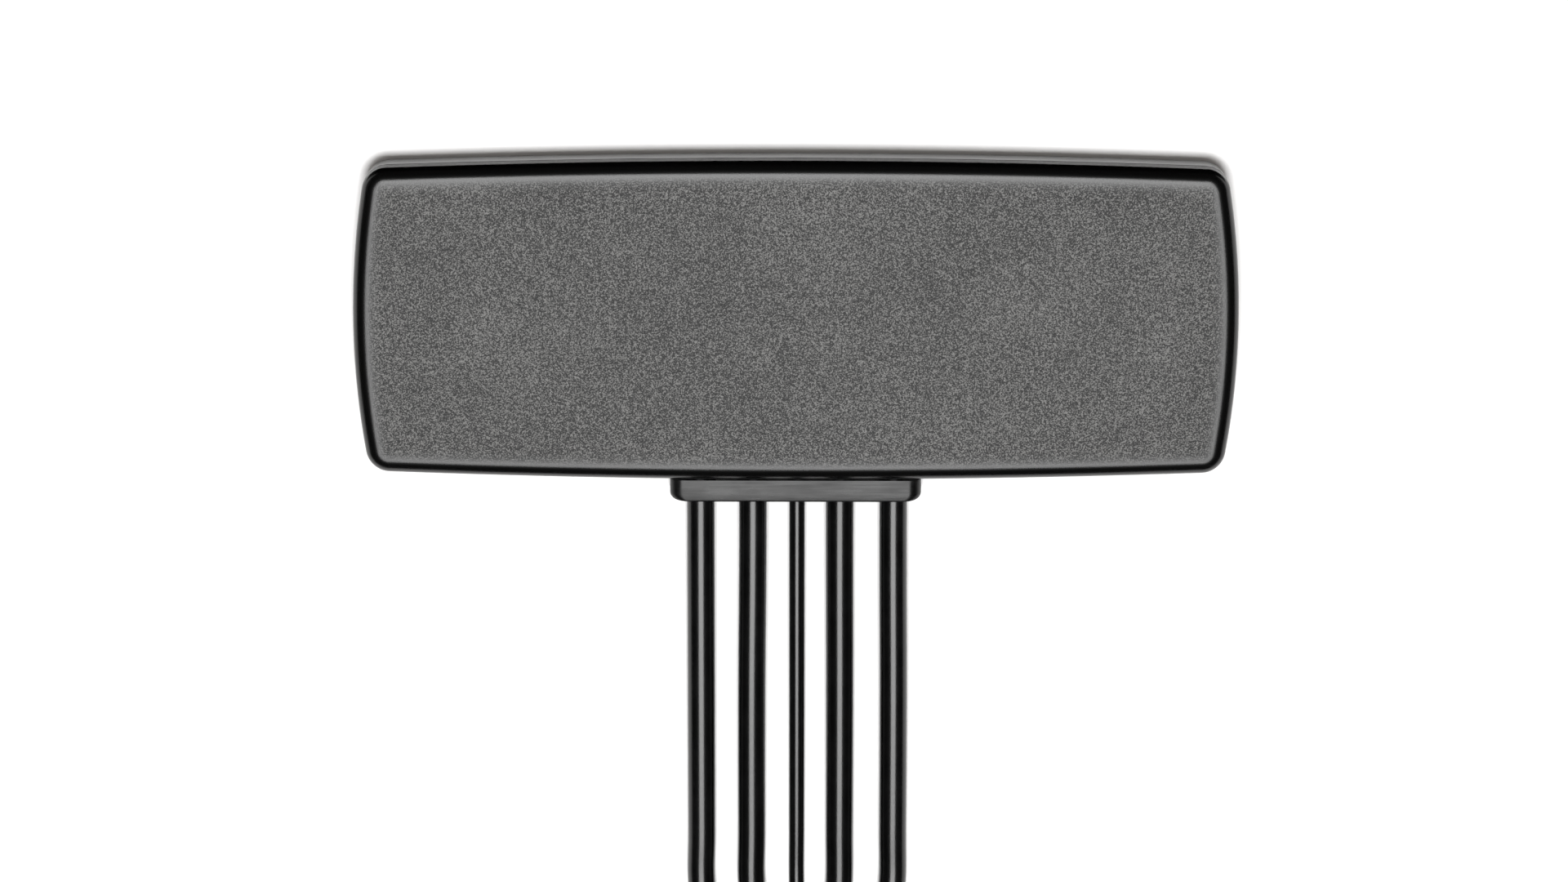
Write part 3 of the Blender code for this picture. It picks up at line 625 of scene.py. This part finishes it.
def make_gland():
    """A flat block with rounded upper edges, a web through the wall, a flange inside and five bores."""
    half = GLAND_WIDTH / 2
    corner_steps, top_steps = GLAND_STEPS
    rows = []
    for i in range(corner_steps + 1):
        # Near the front, the ends draw in by the radius of the corner, and the top only by a small one
        gone = GLAND_CORNER_RADIUS * (1 - math.cos(math.pi / 2 * i / corner_steps))
        ends_in = GLAND_CORNER_RADIUS * (1 - math.sin(math.pi / 2 * i / corner_steps))
        inside = max(0.0, FRONT_BEVEL - gone)
        top_in = FRONT_BEVEL - math.sqrt(FRONT_BEVEL**2 - inside**2)
        rows.append(gland_row(half - ends_in, crown(gone) - top_in, GLAND_FRONT + gone))
    for i in range(1, top_steps + 1):
        gone = mix(GLAND_CORNER_RADIUS, GLAND_PROUD, i / top_steps)
        rows.append(gland_row(half, crown(gone), GLAND_FRONT + gone))
    rows.append(gland_row(half, GLAND_TOP, WALL_INSIDE_Y - GAP))
    gland = loft("gland", rows, MATERIAL["gland"], 50)
    web = block(
        (MM - half, WALL_INSIDE_Y - MM, FLOOR_TOP + GAP),
        (half - MM, WALL_INSIDE_Y + MM, GLAND_TOP - 0.8 * MM),
    )
    flange = block(
        (-half - 2 * MM, WALL_INSIDE_Y + GAP, FLOOR_TOP + GAP),
        (half + 2 * MM, WALL_INSIDE_Y + 2.2 * MM, GLAND_TOP + 0.6 * MM),
    )
    bores = [
        rod(LEAD_D[name] / 2 + GAP, GLAND_FRONT - MM, WALL_INSIDE_Y + 4 * MM, LEAD_X[name], EXIT_Z)
        for name in LEADS
    ]
    width, depth = GLAND_GROOVE
    groove = block(
        (-half - MM, FRONT_Y - width, GLAND_TOP - depth),
        (half + MM, FRONT_Y + 0.1 * MM, GLAND_TOP + MM),
    )
    cuts = [("DIFFERENCE", cutter) for cutter in [groove, *bores]]
    shape(gland, [("UNION", web), ("UNION", flange), *cuts], 50)
    done(gland, "antenna", "gland", "cable_gland")


def crown(gone):
    """The height of the gland's top, this far behind its front."""
    return GLAND_TOP - GLAND_CROWN * (1 - gone / GLAND_PROUD) ** 2


def gland_row(half, top, y, steps=10):
    """The gland's section: flat below, with rounded upper edges."""
    radius = GLAND_EDGE_RADIUS
    outline = [Vector((-half, BASE_BOTTOM)), Vector((half, BASE_BOTTOM))]
    outline += arc((half - radius, top - radius), radius, 0.0, math.pi / 2, steps)
    outline += [Vector((half - radius, top)), Vector((radius - half, top))]
    outline += arc((radius - half, top - radius), radius, math.pi / 2, math.pi, steps)[1:]
    outline.append(Vector((-half, top - radius)))
    return [Vector((p.x, y, p.y)) for p in outline]


def make_leads():
    """Each lead is one cord from the gland to its plug, with the pieces of the plug on it."""
    lines = {}
    for i, name in enumerate(LEADS):
        line = smooth_line(lead_line(name), LEAD_STEPS)
        lines[name] = line
        lead = tube(f"cord_{name}", line, LEAD_D[name] / 2, MATERIAL["jacket"])
        stands_for = [f"lead_{name}", f"tail_{name}"] + (["lead_coil"] if i == 0 else [])
        done(lead, "antenna", "jacket", *stands_for)
        plug = make_plug(name, Vector(line[-1]))
    return lines


def make_plug(name, end):
    """A screw-on coaxial plug along -Y from the lead's end, in mm: sleeve, body, contact and nut."""
    neck = LEAD_D[name] / 2 / MM + 0.3
    number = LEADS.index(name)

    def wrinkle(angle, gone):
        return 0.012 * math.sin(2 * angle + gone + number) * math.sin(0.9 * gone + number)

    sleeve = [(neck, -12.0), (neck + 0.25, -12.1), (neck + 0.52, -11.9), (neck + 0.6, -11.4)]
    sleeve += [(neck + 0.6 + 0.1 * ease((g + 11.4) / 9), g) for g in np.linspace(-10.8, -2.2, 12)]
    sleeve += [(mix(neck + 0.7, 3.9, ease((g + 2.2) / 3.4)), g) for g in np.linspace(-1.9, 1.2, 10)]
    sleeve += [(3.9, g) for g in np.linspace(1.6, 8.3, 10)] + [(3.82, 8.52), (3.65, 8.6)]
    sleeve += [(3.45, 8.6), (3.45, -0.2), (neck, -0.6)]
    sleeve = lathe(
        f"shrink_{name}", sleeve, end, MATERIAL["sleeve"], 56, loop=True, ripple=wrinkle, smooth_angle=60
    )
    done(sleeve, "antenna", "sleeve", f"sleeve_{name}")

    body = [(0, 15.0), (0.9, 15.0), (0.9, 18.5), (1.0, 18.6), (2.15, 18.6), (2.25, 18.5), (2.25, 14.7)]
    body += [(2.75, 14.55), (2.8, 14.45), (2.8, 13.4), (2.75, 13.3), (2.3, 13.2), (2.3, 10.6)]
    body += [(3.7, 10.5), (3.85, 10.42), (3.9, 10.3), (3.9, 9.2), (3.85, 9.08), (3.7, 9.0)]
    body += [(3.1, 8.9), (3.1, 0.3), (0, 0.3)]
    body = lathe(f"connector_{name}", body, end, MATERIAL["plug"], 64)
    done(body, "antenna", "plug", f"plug_body_{name}")

    pin = [(0, 19.2), (0.16, 19.15), (0.3, 19.0), (0.42, 18.6), (0.46, 18.2), (0.46, 15.3), (0, 15.3)]
    pin = lathe(f"contact_{name}", pin, end, MATERIAL["contact"], 32)
    done(pin, "antenna", "contact", f"plug_pin_{name}")

    return [sleeve, body, pin, make_nut(name, end)]


def make_nut(name, end):
    """A hexagon nut with chamfered corners, a ring groove and an inner thread."""
    flat = NUT_ACROSS_FLATS / 2
    corner = flat / math.cos(math.pi / 6)
    start, stop = NUT_START / MM, NUT_END / MM
    outer = [(flat - 0.35 * MM, start), (flat - 0.1 * MM, start + 0.06), (corner, start + 0.62)]
    outer += [(corner, stop - 2.15), (flat - 0.1 * MM, stop - 1.75), (flat - 0.25 * MM, stop - 1.6)]
    outer += [(flat - 0.25 * MM, stop - 0.2), (flat - 0.45 * MM, stop)]
    inner = [(3.35 * MM, stop), (3.1 * MM, stop - 0.25)]
    threads = np.linspace(stop - 0.6, 13.1, 34)
    inner += [((3.1 + 0.09 * math.sin(i * math.pi / 2)) * MM, g) for i, g in enumerate(threads)]
    inner += [(2.6 * MM, 12.9), (2.6 * MM, start)]
    rows = []
    for limit, gone in outer + inner:
        row = []
        for k in range(96):
            angle = math.tau * k / 96
            off_flat = (angle + math.pi / 6) % (math.pi / 3) - math.pi / 6
            r = min(flat / math.cos(off_flat), limit)
            row.append(end + Vector((r * math.sin(angle), -gone * MM, r * math.cos(angle))))
        rows.append(row)
    nut = loft(f"hex_nut_{name}", rows, MATERIAL["plug"], 24, loop=True)
    return done(nut, f"nut_{name}", "plug", f"coupling_nut_{name}")


def make_ties(lines):
    """Each strap lies tight round the leads where it crosses the coil."""
    half = TIE_WIDTH / 2
    reach = COIL_RADIUS + BUNDLE_HALF + LEAD_D["lte_a"] / 2
    bevel_width, bevel_depth = TIE_BEVEL
    for i, degrees in enumerate(TIE_ANGLES):
        angle = math.radians(degrees)
        inside = []
        for name, line in lines.items():
            x, y = line[:, 0] - COIL_X, line[:, 1] - COIL_Y
            out = x * math.cos(angle) + y * math.sin(angle)
            aside = y * math.cos(angle) - x * math.sin(angle)
            under = (abs(aside) < half + MM) & (out > 0) & (out < reach)
            inside += [(Vector(at), LEAD_D[name] / 2) for at in zip(out[under], line[under, 2])]
        rows = []
        across = [-half, bevel_width - half, half - bevel_width, half]
        for out in (0.0, 1.0):
            for y in across if out else reversed(across):
                thick = TIE_THICK * out - (bevel_depth if abs(y) == half and out else 0.0)
                rows.append([Vector((p.x, y, p.y)) for p in wrapped(inside, GAP + thick)])
        tie = loft(f"strap_{i + 1}", rows, MATERIAL["strap"], 50, loop=True)
        tie.location = (COIL_X, COIL_Y, 0.0)
        tie.rotation_euler = (0.0, 0.0, angle)
        bpy.context.view_layer.update()
        done(tie, "antenna", "strap", f"coil_tie_{i + 1}")


def wrapped(circles, gap, steps=96):
    """The outline of a band pulled round circles, this far off them."""
    outline = []
    for i in range(steps):
        way = Vector((math.cos(math.tau * i / steps), math.sin(math.tau * i / steps)))
        middle, radius = max(circles, key=lambda circle: circle[0].dot(way) + circle[1])
        outline.append(middle + way * (radius + gap))
    return outline


def finish_frame_nodes():
    """The pieces that keep their CAD shape get a finish of the right kind."""
    for node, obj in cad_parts.items():
        if obj.hide_render:
            continue
        for slot in obj.material_slots:
            slot.material = MATERIAL[finish_of(node)]


def finish_of(node):
    if "screw" in node:
        return "steel"
    if "inner_lead" in node:
        return "jacket"
    finishes = {
        "base_tray": "housing", "adhesive_pad": "foam", "seal_gasket": "seal", "clamp_bar": "gland",
        "gnss_patch": "ceramic", "gnss_shield_can": "tinned",
    }
    return finishes.get(node, "board")


# ---------------------------------------------------------------- stage

def make_camera():
    back = Vector((0.0, math.sin(CAMERA_TILT), math.cos(CAMERA_TILT)))
    right = Vector((1.0, 0.0, 0.0))
    up = back.cross(right)
    middle = Vector((0.0, MIDDLE_Y, 0.0))
    turn = Matrix.Rotation(CAMERA_TURN, 3, "Z")
    place = middle + turn @ (AIM - middle + back * CAMERA_DISTANCE)
    back, right, up = turn @ back, turn @ right, turn @ up
    right, up = (
        right * math.cos(CAMERA_ROLL) - up * math.sin(CAMERA_ROLL),
        right * math.sin(CAMERA_ROLL) + up * math.cos(CAMERA_ROLL),
    )
    camera = new_object("camera", bpy.data.cameras.new("camera"))
    camera.data.lens = CAMERA_LENS
    camera.data.sensor_width = 36.0
    camera.data.clip_start, camera.data.clip_end = 0.05, 50.0
    camera.matrix_world = Matrix.Translation(place) @ Matrix((right, up, back)).transposed().to_4x4()
    bpy.context.scene.camera = camera


def sheet(name, corners, material):
    mesh = bpy.data.meshes.new(name)
    mesh.from_pydata(corners, [], [(0, 1, 2, 3)])
    mesh.materials.append(material)
    return new_object(name, mesh)


def make_floor():
    n = Nodes("pale_floor")
    n.set(Base_Color=(0.86, 0.86, 0.86), Roughness=0.9, Specular_IOR_Level=0.1)
    half = FLOOR_HALF
    corners = [(-half, -half, 0), (half, -half, 0), (half, half, 0), (-half, half, 0)]
    sheet("floor", corners, n.material)


def make_card():
    """A black card on the far side, seen only in gloss, keeps the long edge of the face dark."""
    n = Nodes("black_card")
    n.set(Base_Color=(0.0, 0.0, 0.0), Roughness=1.0, Specular_IOR_Level=0.0)
    (narrow, near), (wide, far) = CARD_NEAR, CARD_FAR
    corners = [(-narrow, near, CARD_Z), (narrow, near, CARD_Z), (wide, far, CARD_Z), (-wide, far, CARD_Z)]
    card = sheet("card", corners, n.material)
    card.visible_camera = False
    card.visible_diffuse = False
    card.visible_shadow = False


def softbox(name, place, size, brightness):
    """A rectangular light that shines straight down. A face of brightness 1 looks white."""
    light = bpy.data.lights.new(name, "AREA")
    light.shape = "RECTANGLE"
    light.size, light.size_y = size
    light.energy = brightness * math.pi * size[0] * size[1]
    obj = new_object(name, light)
    obj.location = place
    return obj


def make_light():
    """A large softbox straight above shows in the gloss, and a small one beside it lights the floor."""
    overhead = softbox("overhead", **OVERHEAD)
    overhead.visible_diffuse = False
    key = softbox("key", **KEY)
    key.visible_glossy = False


def make_world():
    """A dim studio to gloss, a brighter and warmer one to matt surfaces, and white to the camera."""
    world = bpy.data.worlds.new("studio")
    bpy.context.scene.world = world
    world.use_nodes = True
    tree = world.node_tree
    path = tree.nodes.new("ShaderNodeLightPath")
    gloss, matt, camera = WORLD_BRIGHTNESS
    brightness = gloss
    for ray, value in (("Is Diffuse Ray", matt), ("Is Camera Ray", camera)):
        brightness = world_mix(tree, "FLOAT", path.outputs[ray], brightness, value)
    white = (1.0, 1.0, 1.0, 1.0)
    colour = world_mix(tree, "RGBA", path.outputs["Is Diffuse Ray"], white, (*WORLD_WARMTH, 1.0))
    background = tree.nodes["Background"]
    tree.links.new(brightness, background.inputs["Strength"])
    tree.links.new(colour, background.inputs["Color"])


def world_mix(tree, kind, factor, a, b):
    """One value for most rays, and another for those that the factor picks out."""
    node = tree.nodes.new("ShaderNodeMix")
    node.data_type = kind
    tree.links.new(factor, node.inputs["Factor"])
    sockets = {socket.name: socket for socket in node.inputs if socket.enabled}
    for key, value in (("A", a), ("B", b)):
        if isinstance(value, bpy.types.NodeSocket):
            tree.links.new(value, sockets[key])
        else:
            sockets[key].default_value = value
    return [socket for socket in node.outputs if socket.enabled][0]


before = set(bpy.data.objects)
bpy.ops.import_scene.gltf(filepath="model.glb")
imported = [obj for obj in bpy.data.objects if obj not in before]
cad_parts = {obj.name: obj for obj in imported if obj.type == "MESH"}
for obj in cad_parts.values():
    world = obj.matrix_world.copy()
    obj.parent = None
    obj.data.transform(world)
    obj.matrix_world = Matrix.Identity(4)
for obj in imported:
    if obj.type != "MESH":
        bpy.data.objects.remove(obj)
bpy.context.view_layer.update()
make_camera()
MATERIAL = {
    "housing": moulded(), "gland": satin(), "foam": foam(), "seal": rubber(), "jacket": jacket(),
    "sleeve": shrink(), "strap": strap(), "board": board(), "ceramic": ceramic(), "steel": steel(),
    "tinned": steel("tin_plate", (0.62, 0.62, 0.6), (0.3, 0.45)), "plug": gold(),
    "contact": gold("gold_contact"),
}
lead_lines = make_leads()
make_cover()
make_gland()
make_ties(lead_lines)
finish_frame_nodes()
make_floor()
make_card()
make_light()
make_world()
bpy.context.scene.view_settings.view_transform = "Standard"
